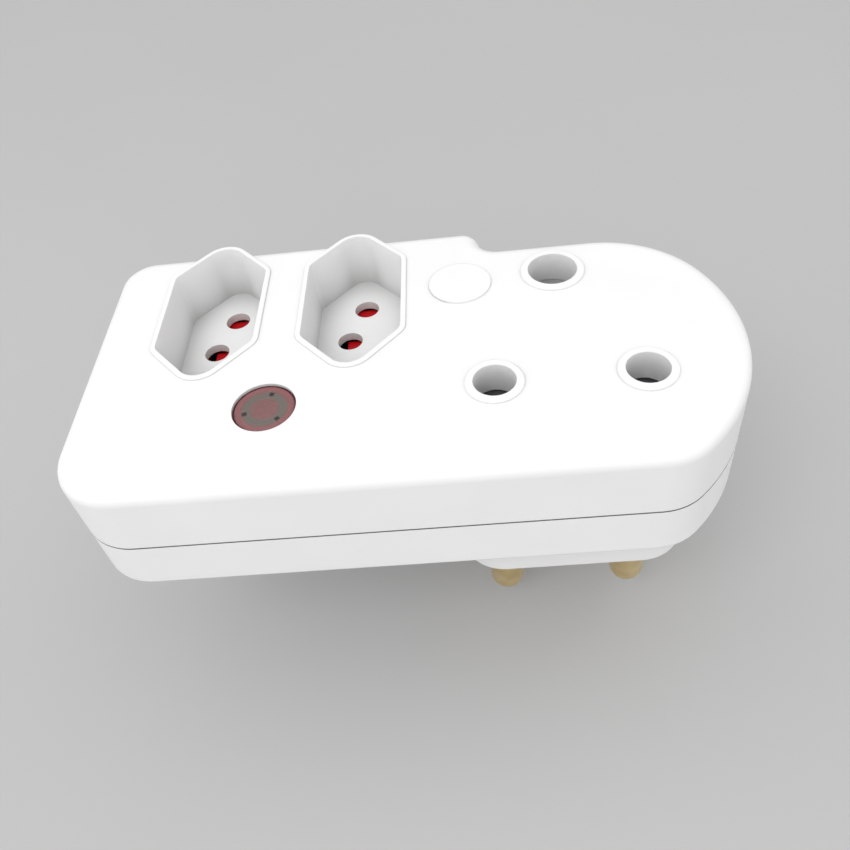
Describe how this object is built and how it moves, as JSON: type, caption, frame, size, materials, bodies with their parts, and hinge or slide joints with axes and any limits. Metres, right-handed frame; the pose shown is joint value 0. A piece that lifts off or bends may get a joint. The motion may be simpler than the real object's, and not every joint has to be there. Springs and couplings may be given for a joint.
{
  "type": "multi socket adapter",
  "caption": "Plug-in adapter with a large three-hole socket, two small six-sided sockets, spring shutters behind the holes and a surge board with a lamp.",
  "frame": {"origin": "on the plug face, midway between the two line pins", "axes": "+X along the body towards its rounded end, +Y from the line pins to the earth pin, +Z out of the sockets"},
  "size_m": [0.1185, 0.0653, 0.0693],
  "materials": {
    "case_white": "satin moulded white plastic",
    "pin_brass": "turned brass, lightly brushed",
    "contact_brass": "stamped spring brass",
    "shutter_red": "deep red moulded plastic",
    "shutter_dark": "dark grey moulded plastic",
    "carrier_black": "black moulded plastic",
    "retainer_grey": "mid grey moulded plastic",
    "spring_steel": "drawn spring wire",
    "screw_steel": "zinc plated",
    "lens_red": "translucent red moulding",
    "lamp_glass": "clear glass with faint orange tint",
    "board_green": "coated laminate",
    "varistor_blue": "dipped lacquer",
    "resistor_tan": "lacquered ceramic with bands",
    "fuse_white": "glazed ceramic",
    "wire_brown": "soft insulation",
    "wire_blue": "soft insulation",
    "wire_green": "soft insulation with a yellow stripe"
  },
  "bodies": {
    "case": {"upper_shell": "case_white", "lower_shell": "case_white", "case_screws": "screw_steel", "live_pin": "pin_brass", "neutral_pin": "pin_brass", "earth_pin": "pin_brass", "live_sleeve": "contact_brass", "neutral_sleeve": "contact_brass", "earth_sleeve": "contact_brass", "neutral_busbar": "contact_brass", "earth_busbar": "contact_brass", "live_busbar": "contact_brass", "live_terminal": "contact_brass", "left_contact_block": "carrier_black", "right_contact_block": "carrier_black", "left_shutter_bed": "carrier_black", "right_shutter_bed": "carrier_black", "shutter_guide": "carrier_black", "indicator_lens": "lens_red", "lens_retainer": "retainer_grey", "lamp_diffuser": "case_white", "neon_lamp": "lamp_glass", "ballast_resistor": "resistor_tan", "thermal_fuse": "fuse_white", "surge_board": "board_green", "varistor_live_neutral": "varistor_blue", "varistor_live_earth": "varistor_blue", "varistor_neutral_earth": "varistor_blue", "live_socket_lead": "wire_brown", "live_board_lead": "wire_brown", "neutral_lead": "wire_blue", "earth_lead": "wire_green", "left_shutter_spring": "spring_steel", "right_shutter_spring": "spring_steel", "main_shutter_spring": "spring_steel"},
    "left_shutter": {"left_shutter": "shutter_red"},
    "right_shutter": {"right_shutter": "shutter_red"},
    "main_shutter": {"main_shutter": "shutter_dark"}
  },
  "joints": [
    {"name": "left_shutter_slide", "type": "slide", "parent": "case", "child": "left_shutter", "axis": [0, -1, 0], "range_m": [0, 0.0056], "stiffness_N_per_m": 120, "springref_m": -0.002, "deforming": ["left_shutter_spring"]},
    {"name": "right_shutter_slide", "type": "slide", "parent": "case", "child": "right_shutter", "axis": [0, -1, 0], "range_m": [0, 0.0056], "stiffness_N_per_m": 120, "springref_m": -0.002, "deforming": ["right_shutter_spring"]},
    {"name": "main_shutter_slide", "type": "slide", "parent": "case", "child": "main_shutter", "axis": [0, -1, 0], "range_m": [0, 0.0089], "stiffness_N_per_m": 80, "springref_m": -0.003, "deforming": ["main_shutter_spring"]}
  ]
}
